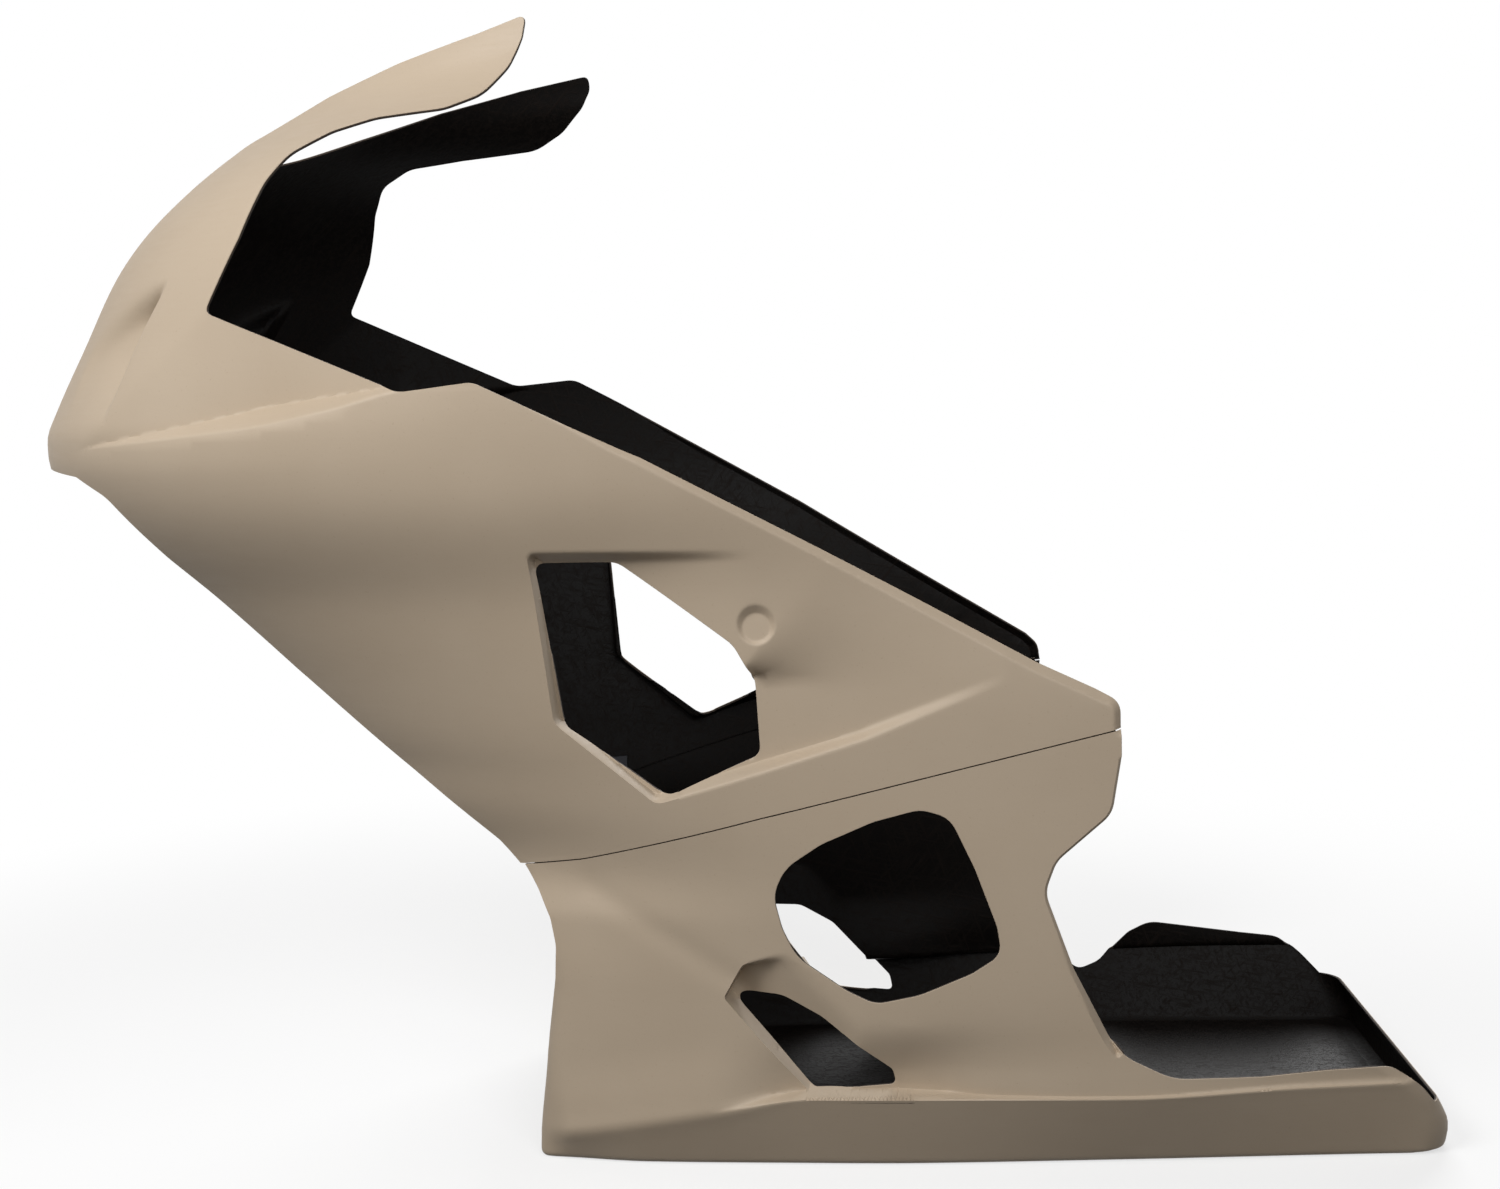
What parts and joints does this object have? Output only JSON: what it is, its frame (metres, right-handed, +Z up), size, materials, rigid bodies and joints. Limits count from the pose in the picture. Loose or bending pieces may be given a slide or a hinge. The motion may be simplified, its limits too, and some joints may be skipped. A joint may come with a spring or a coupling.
{
  "type": "motorcycle race fairing",
  "caption": "Two-piece motorcycle race fairing: an upper moulding with windscreen arms lifts off a belly pan on pegs pushed into rubber grommets.",
  "frame": {"origin": "middle of the length and width, on the underside of the belly pan", "axes": "+X from the nose to the tail, +Y to the motorcycle's right side, +Z up"},
  "size_m": [1.1372, 0.523, 0.9009],
  "materials": {
    "gelcoat_primer": "sanded primer gelcoat outside, bare dark laminate inside",
    "black_laminate": "resin-wet laminate",
    "black_anodised": "satin black anodised",
    "stainless_steel": "turned",
    "rubber": "moulded matte"
  },
  "bodies": {
    "lower": {"lower_shell": "gelcoat_primer", "lower_bracket_left_front": "black_anodised", "rubber_grommet_left_front": "rubber", "lower_bracket_left_middle": "black_anodised", "rubber_grommet_left_middle": "rubber", "lower_bracket_left_rear": "black_anodised", "rubber_grommet_left_rear": "rubber", "lower_bracket_right_front": "black_anodised", "rubber_grommet_right_front": "rubber", "lower_bracket_right_middle": "black_anodised", "rubber_grommet_right_middle": "rubber", "lower_bracket_right_rear": "black_anodised", "rubber_grommet_right_rear": "rubber"},
    "upper": {"upper_shell": "gelcoat_primer", "bolt_doubler_left": "black_laminate", "upper_bracket_left_front": "black_anodised", "locating_peg_left_front": "stainless_steel", "upper_bracket_left_middle": "black_anodised", "locating_peg_left_middle": "stainless_steel", "upper_bracket_left_rear": "black_anodised", "locating_peg_left_rear": "stainless_steel", "bolt_doubler_right": "black_laminate", "upper_bracket_right_front": "black_anodised", "locating_peg_right_front": "stainless_steel", "upper_bracket_right_middle": "black_anodised", "locating_peg_right_middle": "stainless_steel", "upper_bracket_right_rear": "black_anodised", "locating_peg_right_rear": "stainless_steel"}
  },
  "joints": [
    {"name": "upper_lift", "type": "slide", "parent": "lower", "child": "upper", "axis": [0, 0, 1], "range_m": [0, 0.12]}
  ]
}
